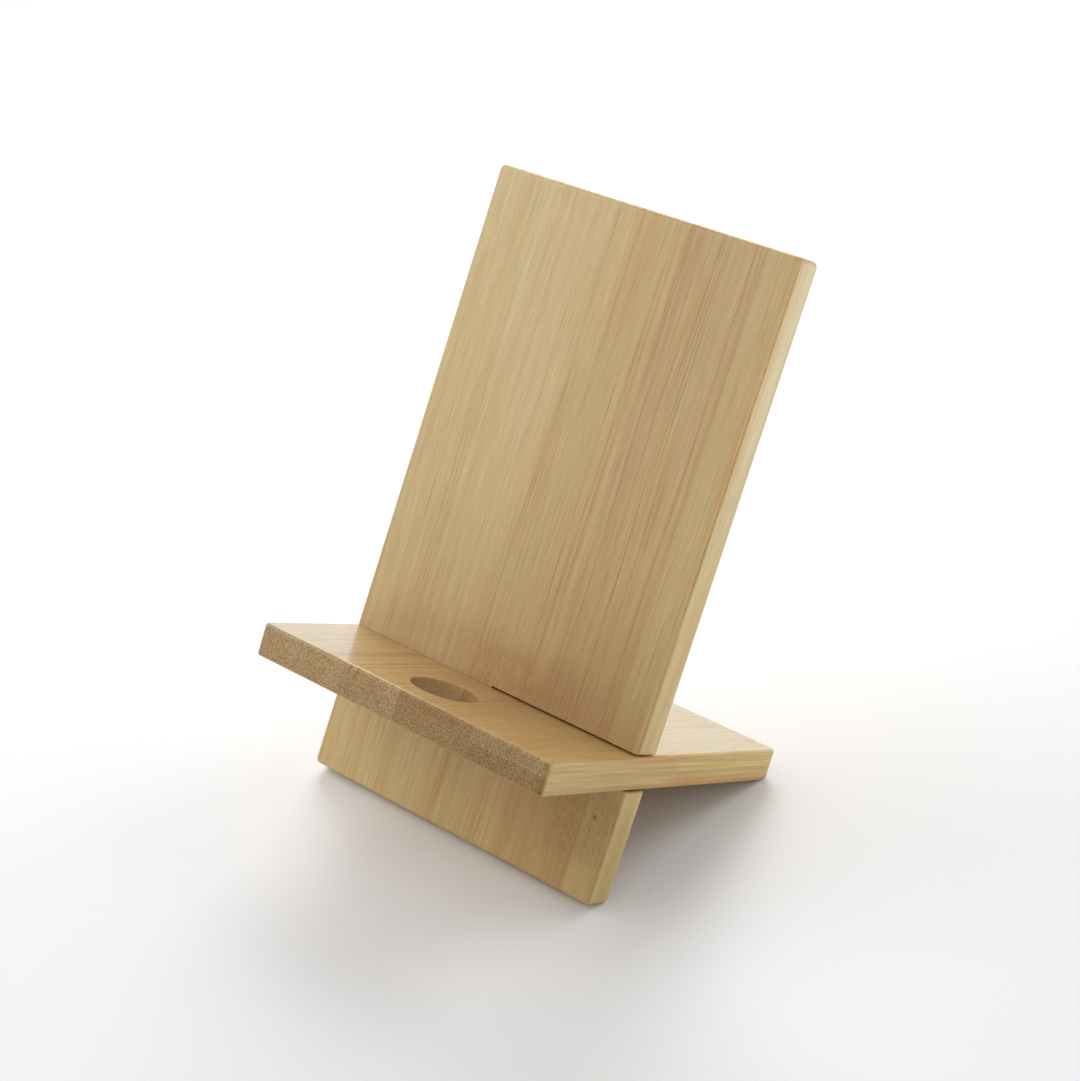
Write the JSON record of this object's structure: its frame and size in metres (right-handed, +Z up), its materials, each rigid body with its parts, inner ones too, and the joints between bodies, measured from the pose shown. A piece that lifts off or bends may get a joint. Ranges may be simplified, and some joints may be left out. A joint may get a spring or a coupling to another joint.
{
  "type": "flat-pack phone and small tablet stand",
  "caption": "Bamboo desk stand for a phone or small tablet: a leaning backrest board and a sloping shelf board with a cable hole, joined by a cross-lap.",
  "frame": {"origin": "on the table top, under the middle of the stand's bounding box", "axes": "+X to the stand's right seen from the front, across both boards; +Y to the rear, the way the backrest leans; +Z up from the table"},
  "size_m": [0.08, 0.0874, 0.1254],
  "materials": {
    "bamboo_backrest": "satin varnished bamboo, grain along the board",
    "bamboo_shelf": "satin varnished bamboo, grain from front to rear"
  },
  "bodies": {
    "backrest": {"backrest_board": "bamboo_backrest"},
    "shelf": {"shelf_board": "bamboo_shelf"}
  },
  "joints": [
    {"name": "shelf_slide", "type": "slide", "parent": "backrest", "child": "shelf", "axis": [1, 0, 0], "range_m": [0, 0.081]}
  ]
}
